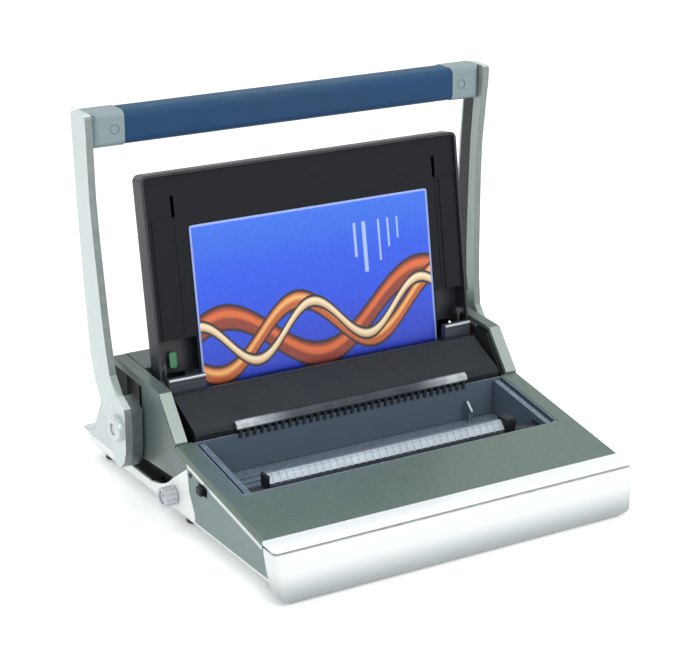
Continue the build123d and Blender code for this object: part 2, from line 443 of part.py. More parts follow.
# a dark liner let into the rear part of each inner face
liner_pts = [(133.8, 379), (135.6, 330), (135.0, 290), (133.4, 240), (131.6, 203), (128.4, 171), (123.6, 153), (151.5, 156), (153.6, 235), (153.2, 330), (151.6, 379)]
al = FLARE * prism(liner_pts, ARM_X0 - 0.5, ARM_X0 + 1.5)
arm = arm - FLARE * prism(liner_pts, ARM_X0 - 1.0, ARM_X0 + 1.5)
put("handle_arm_right", arm)
put("handle_arm_left", mir(arm))
put("arm_liners", al, mir(al))
cap = cylx(ARM_X1, ARM_X1 + 7, SHAFT_Y, SHAFT_Z, 14.0)
cap = soften(cap, cap.faces().sort_by(Axis.X)[-1].edges(), 2.6)
cap = cap - cylx(ARM_X1 + 3.4, ARM_X1 + 9, SHAFT_Y, SHAFT_Z, 6.4) - cylx(ARM_X1 - 1, ARM_X1 + 5, SHAFT_Y, SHAFT_Z, 4.0)
put("hub_caps", cap, mir(cap))
hexb = Plane.YZ.offset(ARM_X1 + 3.4) * (Pos(SHAFT_Y, SHAFT_Z) * RegularPolygon(5.6, 6))
bolt = extrude(hexb, amount=2.6) + cylx(230.5, ARM_X1 + 3.4, SHAFT_Y, SHAFT_Z, 3.9)
put("hub_bolts", bolt, mir(bolt))
shaft = cylx(-230.5, 230.5, SHAFT_Y, SHAFT_Z, SHAFT_R)
put("cross_shaft", shaft)


def cam(x0, x1, lift, r0):
    k = lift / math.radians(HANDLE_SWING)
    pts = []
    n = 24
    for i in range(n + 1):
        phi = math.radians(HANDLE_SWING) * i / n
        psi = math.pi - phi
        h = r0 + k * phi
        pts.append((h * math.cos(psi) + k * math.sin(psi), h * math.sin(psi) - k * math.cos(psi)))
    last = pts[-1]
    arc = []
    for i in range(1, 21):
        a = math.radians(20 - i * 200 / 20 * 1.0)
        arc.append((r0 * math.cos(a), r0 * math.sin(a)))
    first = [(r0 * math.cos(math.radians(20)), r0 * math.sin(math.radians(20)))]
    poly = pts + first + arc
    poly = [(SHAFT_Y + p[0], SHAFT_Z + p[1]) for p in poly]
    return prism(poly, x0, x1) - cylx(x0 - 1, x1 + 1, SHAFT_Y, SHAFT_Z, SHAFT_R)


pc = cam(112, 124, PUNCH_TRAVEL, CAM_R0)
put("punch_cams", pc, mir(pc))
cc = cam(202, 209, CLOSE_TRAVEL, CAM_R0)
put("closer_cams", cc, mir(cc))


def squircle(x0, x1, half, r):
    f = Pos(BAR_Y, BAR_Z) * RectangleRounded(2 * half, 2 * half, r)
    return extrude(Plane.YZ.offset(x0) * f, amount=x1 - x0)


# corner sockets between the grip and the arms, rounded off where they meet the arm, with a round screw plug in front
plan = box(GRIP_HALF, 240.7, BAR_Y - BAR_R, BAR_Y + BAR_R, 370, 430)
plan = fillet(plan.edges().filter_by(Axis.Z).group_by(Axis.X)[-1].group_by(Axis.Y)[0], 12.0)
plan = fillet(plan.edges().filter_by(Axis.Z).group_by(Axis.X)[-1].group_by(Axis.Y)[-1], 8.0)
corner = squircle(GRIP_HALF, 246, BAR_R, 7.0) & plan
corner = corner - FLARE * box(ARM_X0, 300, 50, 220, 300, 500)
corner = corner - cylx(198, 232, BAR_Y, BAR_Z, 11.0)
corner = corner - cyly(213.4, BAR_Y - BAR_R - 1, BAR_Y - BAR_R + 1.0, BAR_Z, 5.4) + cyly(213.4, BAR_Y - BAR_R + 0.3, BAR_Y - BAR_R + 1.0, BAR_Z, 4.4)
corner = max(corner.solids(), key=lambda q: q.volume)
put("handle_corners", corner, mir(corner))
tube = cylx(-232, 232, BAR_Y, BAR_Z, 11.0) - cylx(-233, 233, BAR_Y, BAR_Z, 9.0)
put("crossbar_tube", tube)
grip = squircle(-GRIP_HALF, GRIP_HALF, BAR_R - 0.4, 9.0)
grip = soften(grip, grip.edges().filter_by(lambda e: abs(abs(e.center().X) - GRIP_HALF) < 0.01), 0.8)
grip = grip - cylx(-206, 206, BAR_Y, BAR_Z, 11.0)
put("handle_grip", grip)

print(len(written), "nodes written")
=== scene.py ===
import bpy
import bmesh
import math
from mathutils import Vector, Matrix


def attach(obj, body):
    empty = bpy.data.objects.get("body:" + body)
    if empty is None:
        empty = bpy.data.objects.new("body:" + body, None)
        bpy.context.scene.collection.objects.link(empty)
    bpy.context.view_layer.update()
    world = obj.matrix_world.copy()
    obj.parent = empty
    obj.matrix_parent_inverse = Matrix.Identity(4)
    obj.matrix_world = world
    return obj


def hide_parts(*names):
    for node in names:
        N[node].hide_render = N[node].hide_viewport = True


# Manual wire binding machine: finishes, fine edge rounding, the printed guide sheet in the lid,
# a plain pale studio floor and the camera. Metres, +X right, +Y back, +Z up.

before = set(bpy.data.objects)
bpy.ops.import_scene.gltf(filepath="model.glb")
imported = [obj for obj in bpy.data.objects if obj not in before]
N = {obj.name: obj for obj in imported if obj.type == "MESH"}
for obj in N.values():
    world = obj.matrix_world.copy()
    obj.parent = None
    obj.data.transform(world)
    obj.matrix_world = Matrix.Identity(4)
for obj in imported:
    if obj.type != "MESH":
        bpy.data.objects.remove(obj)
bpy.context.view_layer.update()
scene = bpy.context.scene


# ---- camera -------------------------------------------------------------------------------
cam_data = bpy.data.cameras.new("camera")
cam = bpy.data.objects.new("camera", cam_data)
scene.collection.objects.link(cam)
cam.location = (-1.0481, -1.7467, 0.8801)
cam.rotation_euler = (math.radians(90 - 19.1), 0.0, math.radians(-31.0))
cam_data.lens = 103.97
cam_data.sensor_width = 36.0
cam_data.clip_start = 0.05
cam_data.clip_end = 60.0
scene.camera = cam


# ---- material toolkit -----------------------------------------------------------------------
def lin(r, g, b):
    out = []
    for v in (r, g, b):
        v = v / 255.0
        out.append(v / 12.92 if v <= 0.04045 else ((v + 0.055) / 1.055) ** 2.4)
    return (*out, 1.0)


class Mat:
    def __init__(self, name):
        self.m = bpy.data.materials.new(name)
        self.m.use_nodes = True
        self.t = self.m.node_tree
        self.b = next(n for n in self.t.nodes if n.type == "BSDF_PRINCIPLED")
        self.tc = self.new("ShaderNodeTexCoord")
        self.P = self.tc.outputs["Object"]

    def new(self, kind, **kw):
        n = self.t.nodes.new(kind)
        for k, v in kw.items():
            setattr(n, k, v)
        return n

    def put(self, sock, v):
        if isinstance(v, bpy.types.NodeSocket):
            self.t.links.new(v, sock)
        else:
            sock.default_value = v

    def set(self, **kw):
        for k, v in kw.items():
            self.put(self.b.inputs[k.replace("_", " ")], v)

    def math(self, op, a, b=0.0, c=0.0, clamp=False):
        n = self.new("ShaderNodeMath", operation=op, use_clamp=clamp)
        self.put(n.inputs[0], a)
        self.put(n.inputs[1], b)
        self.put(n.inputs[2], c)
        return n.outputs[0]

    def vmath(self, op, a, b=(0, 0, 0)):
        n = self.new("ShaderNodeVectorMath", operation=op)
        self.put(n.inputs[0], a)
        self.put(n.inputs[1], b)
        return n.outputs["Value"] if op in ("DOT_PRODUCT", "LENGTH", "DISTANCE") else n.outputs[0]

    def split(self, v):
        n = self.new("ShaderNodeSeparateXYZ")
        self.put(n.inputs[0], v)
        return n.outputs[0], n.outputs[1], n.outputs[2]

    def join(self, x, y, z):
        n = self.new("ShaderNodeCombineXYZ")
        self.put(n.inputs[0], x)
        self.put(n.inputs[1], y)
        self.put(n.inputs[2], z)
        return n.outputs[0]

    def stretch(self, sx, sy, sz, vec=None):
        n = self.new("ShaderNodeMapping")
        self.put(n.inputs["Vector"], vec or self.P)
        n.inputs["Scale"].default_value = (sx, sy, sz)
        return n.outputs[0]

    def noise(self, scale, detail=2.0, rough=0.5, vec=None, dist=0.0):
        n = self.new("ShaderNodeTexNoise")
        self.put(n.inputs["Vector"], vec or self.P)
        n.inputs["Scale"].default_value = scale
        n.inputs["Detail"].default_value = detail
        n.inputs["Roughness"].default_value = rough
        n.inputs["Distortion"].default_value = dist
        return n.outputs["Fac"]

    def cells(self, scale, feature="F1", vec=None, rand=1.0, out="Distance"):
        n = self.new("ShaderNodeTexVoronoi", feature=feature)
        self.put(n.inputs["Vector"], vec or self.P)
        n.inputs["Scale"].default_value = scale
        n.inputs["Randomness"].default_value = rand
        return n.outputs[out]

    def ramp(self, fac, stops, interp="LINEAR"):
        n = self.new("ShaderNodeValToRGB")
        n.color_ramp.interpolation = interp
        e = n.color_ramp.elements
        while len(e) < len(stops):
            e.new(0.5)
        for i, (p, c) in enumerate(stops):
            e[i].position = p
            e[i].color = c if hasattr(c, "__len__") else (c, c, c, 1.0)
        self.put(n.inputs[0], fac)
        return n.outputs[0]

    def remap(self, v, a, b, c, d, smooth=False):
        n = self.new("ShaderNodeMapRange", interpolation_type="SMOOTHSTEP" if smooth else "LINEAR")
        n.clamp = True if not smooth else n.clamp
        self.put(n.inputs["Value"], v)
        n.inputs["From Min"].default_value = a
        n.inputs["From Max"].default_value = b
        n.inputs["To Min"].default_value = c
        n.inputs["To Max"].default_value = d
        return n.outputs["Result"]

    def mix(self, fac, a, b, mode="MIX"):
        n = self.new("ShaderNodeMix", data_type="RGBA", blend_type=mode)
        n.clamp_factor = True
        self.put(n.inputs[0], fac)
        self.put(n.inputs[6], a)
        self.put(n.inputs[7], b)
        return n.outputs[2]

    def bump(self, height, strength, distance, normal=None):
        n = self.new("ShaderNodeBump")
        self.put(n.inputs["Height"], height)
        n.inputs["Strength"].default_value = strength
        n.inputs["Distance"].default_value = distance
        if normal is not None:
            self.put(n.inputs["Normal"], normal)
        return n.outputs[0]

    def edges(self, radius, lo=0.02, hi=0.25):
        # mask of outer and inner corners, from a rounded normal against the real one
        bv = self.new("ShaderNodeBevel", samples=6)
        bv.inputs["Radius"].default_value = radius
        geo = self.new("ShaderNodeNewGeometry")
        d = self.vmath("DOT_PRODUCT", bv.outputs[0], geo.outputs["Normal"])
        return self.remap(self.math("SUBTRACT", 1.0, d), lo, hi, 0.0, 1.0)

    def corner_shade_and_grime(self, distance, lo=0.35, hi=0.95):
        # mask of tight inner corners from ambient occlusion, where painted shade and dirt darken the surface
        ao = self.new("ShaderNodeAmbientOcclusion", samples=6, only_local=True)
        ao.inputs["Distance"].default_value = distance
        return self.remap(ao.outputs["AO"], lo, hi, 1.0, 0.0)

    def upward(self, lo=0.55, hi=0.98):
        # mask of faces that look up in the piece's own frame, for settled dust and for the grip's painted highlight
        _, _, z = self.split(self.tc.outputs["Normal"])
        return self.remap(z, lo, hi, 0.0, 1.0)


def shade(c, f):
    return (min(c[0] * f, 1.0), min(c[1] * f, 1.0), min(c[2] * f, 1.0), 1.0)


def moulded(name, col, rough=0.45, grain=0.35, grain_mm=0.45, var=0.05, dust=0.0, dust_col=None, wear=0.0,
            wear_col=None, grime_and_shade=0.12, grime_and_shade_col=None, spec=0.5, coat=0.0, coat_rough=0.1, scuff=0.25, edge_mm=0.8, mottle=1.0):
    """Injection moulded plastic: spark-eroded grain, slow tone drift, scuffs, edge polish, dirt and painted shade in
    the tight corners.
    """
    m = Mat(name)
    slow = m.noise(7.0, 3.0, 0.55)
    mid = m.noise(60.0, 4.0, 0.6)
    tone = m.math("ADD", m.math("MULTIPLY", slow, 0.65), m.math("MULTIPLY", mid, 0.35))
    base = m.ramp(tone, [(0.30, shade(col, 1.0 - var)), (0.52, col), (0.72, shade(col, 1.0 + var))])
    fine = m.noise(1000.0 / grain_mm, 2.0, 0.6)
    pits = m.cells(700.0 / grain_mm, "SMOOTH_F1")
    g = m.math("ADD", m.math("MULTIPLY", fine, 0.7), m.math("MULTIPLY", pits, 0.5))
    base = m.mix(m.remap(fine, 0.35, 0.65, 0.0, 0.05), base, shade(col, 1.25))
    # painted shade with some dirt: tight corners darkened towards the darker colour
    if grime_and_shade:
        base = m.mix(m.math("MULTIPLY", m.corner_shade_and_grime(0.004), m.remap(mid, 0.3, 0.7, grime_and_shade * 0.5, grime_and_shade)), base, grime_and_shade_col or shade(col, 0.55))
    if dust:
        d = m.math("MULTIPLY", m.upward(), m.remap(m.noise(220.0, 4.0, 0.7), 0.38, 0.72, 0.0, dust))
        base = m.mix(d, base, dust_col or (0.55, 0.55, 0.53, 1.0))
    ed = m.edges(edge_mm / 1000.0)
    if wear:
        w = m.math("MULTIPLY", ed, m.remap(m.noise(90.0, 5.0, 0.7), 0.35, 0.65, wear * 0.25, wear))
        base = m.mix(w, base, wear_col or shade(col, 1.7))
    # scuffs: fine scratches in two directions that only change the gloss
    s1 = m.noise(1.0, 4.0, 0.7, vec=m.stretch(35.0, 900.0, 900.0))
    s2 = m.noise(1.0, 4.0, 0.7, vec=m.stretch(800.0, 60.0, 500.0))
    sc = m.remap(m.math("MAXIMUM", s1, s2), 0.58, 0.74, 0.0, scuff)
    r = m.math("ADD", m.remap(m.noise(28.0, 4.0, 0.6), 0.3, 0.7, rough - 0.05 * mottle, rough + 0.07 * mottle), m.math("MULTIPLY", sc, 0.35))
    r = m.math("SUBTRACT", r, m.math("MULTIPLY", ed, 0.10), clamp=True)
    m.put(m.b.inputs["Base Color"], base)
    m.put(m.b.inputs["Roughness"], r)
    m.b.inputs["Specular IOR Level"].default_value = spec
    m.b.inputs["Coat Weight"].default_value = coat
    m.b.inputs["Coat Roughness"].default_value = coat_rough
    m.put(m.b.inputs["Normal"], m.bump(g, grain, 0.00006))
    return m


def painted(name, col, rough=0.34, metallic=0.55, flake=0.5, coat=0.5, coat_rough=0.12, peel=0.25, var=0.05, wear=0.35,
            wear_col=(0.70, 0.72, 0.71, 1.0), grime_and_shade=0.15, edge_mm=0.9, dust=0.0):
    """Metallic paint: tiny flakes under a clear coat with a slight orange peel, thin at the edges."""
    m = Mat(name)
    slow = m.noise(5.0, 3.0, 0.55)
    mid = m.noise(45.0, 4.0, 0.6)
    tone = m.math("ADD", m.math("MULTIPLY", slow, 0.6), m.math("MULTIPLY", mid, 0.4))
    base = m.ramp(tone, [(0.30, shade(col, 1.0 - var)), (0.5, col), (0.70, shade(col, 1.0 + var))])
    fl = m.cells(3800.0, "F1", out="Color")
    fx, fy, fz = m.split(fl)
    sparkle = m.remap(fx, 0.55, 1.0, 0.0, flake * 0.55)
    base = m.mix(sparkle, base, shade(col, 1.55))
    base = m.mix(m.remap(fy, 0.75, 1.0, 0.0, flake * 0.35), base, shade(col, 0.62))
    # painted shade with some dirt darkening the tight corners
    base = m.mix(m.math("MULTIPLY", m.corner_shade_and_grime(0.004), m.remap(mid, 0.3, 0.7, grime_and_shade * 0.4, grime_and_shade)), base, shade(col, 0.45))
    if dust:
        d = m.math("MULTIPLY", m.upward(), m.remap(m.noise(200.0, 4.0, 0.7), 0.40, 0.74, 0.0, dust))
        base = m.mix(d, base, (0.60, 0.60, 0.58, 1.0))
    ed = m.edges(edge_mm / 1000.0)
    w = m.math("MULTIPLY", ed, m.remap(m.noise(80.0, 5.0, 0.7), 0.40, 0.66, wear * 0.15, wear))
    base = m.mix(w, base, wear_col)
    s1 = m.noise(1.0, 4.0, 0.7, vec=m.stretch(30.0, 1100.0, 1100.0))
    r = m.math("ADD", m.remap(m.noise(24.0, 4.0, 0.6), 0.3, 0.7, rough - 0.04, rough + 0.06), m.remap(s1, 0.62, 0.78, 0.0, 0.12))
    r = m.math("ADD", r, m.math("MULTIPLY", fz, 0.05), clamp=True)
    m.put(m.b.inputs["Base Color"], base)
    m.put(m.b.inputs["Roughness"], r)
    m.b.inputs["Metallic"].default_value = metallic
    m.b.inputs["Coat Weight"].default_value = coat
    m.b.inputs["Coat Roughness"].default_value = coat_rough
    orange = m.noise(420.0, 2.0, 0.5)
    h = m.math("ADD", m.math("MULTIPLY", orange, 1.0), m.math("MULTIPLY", fx, 0.10))
    m.put(m.b.inputs["Normal"], m.bump(h, peel, 0.00008))
    m.put(m.b.inputs["Coat Normal"], m.bump(orange, peel * 0.6, 0.00006))
    return m


def metal(name, col, rough=0.28, along="x", lines=0.5, var=0.08, tint=None, tint_amt=0.0, pits=0.0, edge_highlight=0.25, corner_grime_and_shade=0.35):
    """Bare metal with machining lines along one axis, stains, a painted highlight along the edges and painted shade
    with some dirt in tight corners.
    """
    m = Mat(name)
    k = {"x": (40.0, 2600.0, 2600.0), "y": (2600.0, 40.0, 2600.0), "z": (2600.0, 2600.0, 40.0)}[along]
    ln = m.noise(1.0, 3.0, 0.65, vec=m.stretch(*k))
    slow = m.noise(22.0, 4.0, 0.6)
    base = m.ramp(ln, [(0.30, shade(col, 1.0 - var * 1.6)), (0.5, col), (0.70, shade(col, 1.0 + var))])
    base = m.mix(m.remap(slow, 0.35, 0.7, 0.0, 0.28), base, shade(col, 0.72))
    if tint is not None:
        base = m.mix(m.remap(m.noise(55.0, 5.0, 0.7), 0.5, 0.75, 0.0, tint_amt), base, tint)
    ed = m.edges(0.0005)
    # painted highlight along every edge, then painted shade with some dirt in the tight corners
    base = m.mix(m.math("MULTIPLY", ed, edge_highlight), base, shade(col, 1.35))
    base = m.mix(m.math("MULTIPLY", m.corner_shade_and_grime(0.003), corner_grime_and_shade), base, shade(col, 0.35))
    r = m.math("ADD", m.remap(ln, 0.3, 0.7, rough - 0.06, rough + 0.10), m.remap(slow, 0.35, 0.7, 0.0, 0.10), clamp=True)
    h = m.math("MULTIPLY", ln, lines)
    if pits:
        h = m.math("ADD", h, m.math("MULTIPLY", m.cells(1500.0, "SMOOTH_F1"), pits))
    m.put(m.b.inputs["Base Color"], base)
    m.put(m.b.inputs["Roughness"], r)
    m.b.inputs["Metallic"].default_value = 1.0
    m.put(m.b.inputs["Normal"], m.bump(h, 0.3, 0.00004))
    return m


# ---- the machine's finishes -------------------------------------------------------------------
white_plastic = moulded("white_plastic", lin(220, 225, 224), rough=0.42, grain=0.22, grain_mm=0.5, var=0.02, grime_and_shade=0.30, grime_and_shade_col=lin(140, 146, 144), coat=0.1, coat_rough=0.3, mottle=0.5)
white_gloss = moulded("white_gloss", lin(216, 220, 220), rough=0.26, grain=0.08, grain_mm=0.9, var=0.015, grime_and_shade=0.35, grime_and_shade_col=lin(140, 146, 146), coat=0.5, coat_rough=0.12, scuff=0.05, mottle=0.3)
olive = painted("olive_paint", lin(88, 106, 96), rough=0.34, metallic=0.40, coat=0.35, coat_rough=0.16, peel=0.10, var=0.02, dust=0.05)
olive_dark = painted("olive_dark_paint", lin(84, 98, 96), rough=0.38, metallic=0.35, coat=0.30, coat_rough=0.2, peel=0.14, var=0.03, dust=0.06)
silver_trim = metal("silver_trim", lin(205, 212, 210), rough=0.30, lines=0.7, var=0.05)
bar_silver = metal("bar_silver", lin(158, 167, 174), rough=0.40, lines=0.6, var=0.05, corner_grime_and_shade=0.12, edge_highlight=0.45)
trim_silver = painted("trim_silver", lin(140, 151, 144), rough=0.34, metallic=0.35, flake=0.3, coat=0.3, coat_rough=0.2, wear=0.2, wear_col=lin(190, 198, 192), var=0.04)
screw_dark = metal("screw_dark", lin(84, 88, 92), rough=0.34, lines=0.4, var=0.06)
strip_steel = metal("strip_steel", lin(196, 202, 206), rough=0.34, lines=0.5, var=0.05)
blue_grey = moulded("blue_grey_plastic", lin(108, 126, 124), rough=0.44, grain=0.28, grain_mm=0.55, var=0.03, grime_and_shade=0.3, grime_and_shade_col=lin(72, 82, 84))
rear_pale = moulded("rear_pale_plastic", lin(192, 201, 201), rough=0.44, grain=0.26, grain_mm=0.55, var=0.025, dust=0.06, grime_and_shade=0.3, grime_and_shade_col=lin(120, 128, 128), wear=0.15, wear_col=lin(222, 228, 228), mottle=0.5)
well_dark = moulded("well_plastic", lin(77, 91, 103), rough=0.38, grain=0.4, grain_mm=0.6, var=0.07, dust=0.55, dust_col=lin(136, 152, 164), wear=0.3, wear_col=lin(122, 136, 150), grime_and_shade=0.6, grime_and_shade_col=lin(14, 18, 24), edge_mm=0.8, scuff=0.4)
dark_plastic = moulded("dark_plastic", lin(48, 54, 60), rough=0.42, grain=0.4, grain_mm=0.5, var=0.08, wear=0.35, wear_col=lin(110, 116, 120), grime_and_shade=0.3, grime_and_shade_col=lin(16, 18, 20))
liner_dark = moulded("liner_plastic", lin(38, 42, 46), rough=0.46, grain=0.4, grain_mm=0.5, var=0.08, wear=0.25, wear_col=lin(96, 102, 106), grime_and_shade=0.3, grime_and_shade_col=lin(12, 13, 14), spec=0.35)
black_plastic = moulded("black_plastic", lin(24, 29, 33), rough=0.40, grain=0.4, grain_mm=0.5, var=0.09, dust=0.05, dust_col=lin(90, 98, 106), wear=0.45, wear_col=lin(96, 104, 110), grime_and_shade=0.3, grime_and_shade_col=lin(8, 9, 10), edge_mm=1.0, spec=0.22)
rail_black = moulded("rail_plastic", lin(50, 54, 64), rough=0.36, grain=0.4, grain_mm=0.5, var=0.09, dust=0.10, dust_col=lin(120, 124, 132), wear=0.45, wear_col=lin(120, 126, 136), grime_and_shade=0.4, grime_and_shade_col=lin(10, 11, 13), edge_mm=1.0)
bay_plastic = moulded("bay_plastic", lin(34, 38, 40), rough=0.5, grain=0.4, grain_mm=0.6, var=0.08, grime_and_shade=0.6, grime_and_shade_col=lin(8, 9, 10), spec=0.35)
corner_grey = moulded("corner_grey", lin(116, 133, 137), rough=0.40, grain=0.25, grain_mm=0.5, var=0.04, wear=0.25, wear_col=lin(190, 202, 204), grime_and_shade=0.35, grime_and_shade_col=lin(60, 68, 72), coat=0.15, coat_rough=0.25)
lid_black = moulded("lid_black", lin(32, 36, 42), rough=0.38, grain=0.35, grain_mm=0.5, var=0.10, wear=0.35, wear_col=lin(112, 120, 128), grime_and_shade=0.2, grime_and_shade_col=lin(8, 9, 10), edge_mm=1.2, spec=0.5, mottle=0.5)
lid_inner = moulded("lid_inner", lin(17, 20, 25), rough=0.52, grain=0.45, grain_mm=0.7, var=0.12, wear=0.35, wear_col=lin(74, 80, 88), grime_and_shade=0.3, grime_and_shade_col=lin(6, 7, 8), spec=0.18)
foot_rubber = moulded("foot_rubber", lin(50, 50, 52), rough=0.72, grain=0.6, grain_mm=0.8, var=0.12, dust=0.2, grime_and_shade=0.3, spec=0.3)
dial_grey = moulded("dial_grey", lin(182, 184, 190), rough=0.42, grain=0.3, grain_mm=0.5, var=0.05, wear=0.4, wear_col=lin(176, 179, 184), grime_and_shade=0.5, grime_and_shade_col=lin(44, 46, 50))
green_plastic = moulded("green_plastic", lin(38, 120, 72), rough=0.28, grain=0.12, grain_mm=0.8, var=0.05, coat=0.4, coat_rough=0.1, grime_and_shade=0.3)
steel = metal("steel", lin(184, 189, 194), rough=0.26, lines=0.5, var=0.05)
shaft_steel = metal("shaft_steel", lin(176, 181, 186), rough=0.22, along="x", lines=0.3, var=0.04, tint=lin(120, 104, 84), tint_amt=0.15)
tool_steel = metal("tool_steel", lin(122, 126, 132), rough=0.30, lines=0.9, var=0.10, tint=lin(104, 88, 66), tint_amt=0.35)
bronze = metal("bronze", lin(176, 140, 92), rough=0.38, along="y", lines=0.2, var=0.08, pits=0.7, tint=lin(80, 58, 36), tint_amt=0.4)
dark_metal = painted("dark_metal", lin(40, 44, 48), rough=0.40, metallic=0.3, flake=0.2, coat=0.2, coat_rough=0.25, wear=0.5, wear_col=(0.36, 0.37, 0.38, 1.0), peel=0.5)


def comb_material():
    """Comb rail: dark burnished teeth, with a painted highlight on the rail towards both ends."""
    m = metal("comb_steel", lin(74, 79, 85), rough=0.42, lines=0.6, var=0.08, tint=lin(44, 47, 52), tint_amt=0.5)
    base = m.b.inputs["Base Color"].links[0].from_socket
    x, _, z = m.split(m.P)
    # painted highlight on the top of the rail towards both ends
    ends = m.remap(m.math("ABSOLUTE", x), 0.070, 0.135, 0.0, 0.8, smooth=True)
    ends = m.math("MULTIPLY", ends, m.remap(z, 0.0965, 0.0985, 0.0, 1.0))
    ends = m.math("MULTIPLY", ends, m.remap(m.noise(90.0, 4.0, 0.6), 0.3, 0.6, 0.55, 1.0))
    m.put(m.b.inputs["Base Color"], m.mix(ends, base, lin(196, 203, 206)))
    return m


def fascia_material():
    """Gloss white moulding with painted shade that greys it a little towards the table, and a painted shadow along the
    parting line.
    """
    m = moulded("fascia_gloss", lin(212, 216, 216), rough=0.25, grain=0.08, grain_mm=0.9, var=0.008, grime_and_shade=0.2, grime_and_shade_col=lin(150, 156, 156),
                coat=0.5, coat_rough=0.12, scuff=0.04, mottle=0.25)
    base = m.b.inputs["Base Color"].links[0].from_socket
    _, _, z = m.split(m.P)
    # painted shade: darker towards the table
    low = m.remap(z, 0.003, 0.040, 1.0, 0.0, smooth=True)
    low = m.math("MULTIPLY", low, m.remap(m.noise(7.0, 2.0, 0.5), 0.3, 0.7, 0.95, 1.0))
    base = m.mix(low, base, lin(138, 145, 146))
    # painted shadow along the parting line under the nose
    line = m.math("MULTIPLY", m.remap(z, 0.0518, 0.0528, 0.0, 1.0), m.remap(m.noise(60.0, 4.0, 0.6), 0.3, 0.7, 0.3, 0.6))
    m.put(m.b.inputs["Base Color"], m.mix(line, base, lin(140, 144, 146)))
    return m


def arm_material():
    """Silver paint on the arms' broad faces, darker on the faces that look forward and back."""
    m = painted("arm_silver", lin(187, 197, 196), rough=0.34, metallic=0.30, flake=0.35, coat=0.3, coat_rough=0.2, wear=0.2,
                wear_col=lin(225, 230, 228), var=0.03)
    base = m.b.inputs["Base Color"].links[0].from_socket
    nx, ny, _ = m.split(m.tc.outputs["Normal"])
    # the faces that look forward and back are darker
    side = m.remap(m.math("ABSOLUTE", ny), 0.50, 0.86, 0.0, 1.0, smooth=True)
    fine = m.noise(120.0, 4.0, 0.6)
    edge = m.ramp(fine, [(0.3, lin(110, 119, 118)), (0.7, lin(124, 133, 132))])
    x, _, _ = m.split(m.P)
    # painted shade: the faces that look at the machine are greyer
    inner = m.remap(m.math("MULTIPLY", nx, m.math("SIGN", x)), -0.9, -0.5, 1.0, 0.0, smooth=True)
    base = m.mix(m.math("MULTIPLY", inner, 0.8), base, lin(138, 148, 146))
    col = m.mix(side, base, edge)
    # painted shade: the cast drum behind each arm is darker
    drum = m.remap(m.math("ABSOLUTE", x), 0.2280, 0.2287, 1.0, 0.0)
    col = m.mix(drum, col, m.ramp(fine, [(0.3, lin(72, 80, 82)), (0.7, lin(92, 100, 102))]))
    m.put(m.b.inputs["Base Color"], col)
    return m


arm_silver = arm_material()
cap_silver = painted("cap_silver", lin(187, 197, 196), rough=0.32, metallic=0.30, flake=0.35, coat=0.3, coat_rough=0.2, wear=0.25, wear_col=lin(225, 230, 228), var=0.03)
comb_steel = comb_material()
fascia_gloss = fascia_material()


def grip_material():
    """Soft-touch grip: pebbled skin, polished by hands towards the middle, dusty mould line along its back."""
    m = Mat("blue_grip")
    col = lin(16, 57, 94)
    x, y, z = m.split(m.P)
    slow = m.noise(14.0, 4.0, 0.6)
    base = m.ramp(slow, [(0.3, shade(col, 0.88)), (0.5, col), (0.72, shade(col, 1.10))])
    # painted highlight: the upper side is lighter and greener
    up = m.upward(0.25, 0.95)
    base = m.mix(m.math("MULTIPLY", up, 0.5), base, lin(28, 72, 98))
    peb = m.cells(1150.0, "SMOOTH_F1")
    fine = m.noise(3200.0, 2.0, 0.6)
    base = m.mix(m.remap(peb, 0.2, 0.6, 0.18, 0.0), base, shade(col, 0.55))
    base = m.mix(m.math("MULTIPLY", m.edges(0.0012), m.remap(slow, 0.35, 0.65, 0.05, 0.3)), base, shade(col, 1.6))
    worn = m.remap(m.math("ABSOLUTE", x), 0.03, 0.14, 1.0, 0.0, smooth=True)
    worn = m.math("MULTIPLY", worn, m.remap(m.noise(45.0, 4.0, 0.65), 0.35, 0.6, 0.3, 1.0))
    base = m.mix(m.math("MULTIPLY", worn, 0.12), base, shade(col, 0.7))
    r = m.math("SUBTRACT", m.remap(m.noise(70.0, 4.0, 0.6), 0.3, 0.7, 0.56, 0.66), m.math("MULTIPLY", worn, 0.12))
    m.put(m.b.inputs["Base Color"], base)
    m.put(m.b.inputs["Roughness"], r)
    m.b.inputs["Sheen Weight"].default_value = 0.08
    m.b.inputs["Specular IOR Level"].default_value = 0.28
    m.b.inputs["Sheen Roughness"].default_value = 0.4
    m.b.inputs["Sheen Tint"].default_value = lin(190, 215, 235)
    h = m.math("ADD", m.math("MULTIPLY", peb, 1.0), m.math("MULTIPLY", fine, 0.25))
    m.put(m.b.inputs["Normal"], m.bump(h, 0.30, 0.00010))
    return m


blue_grip = grip_material()

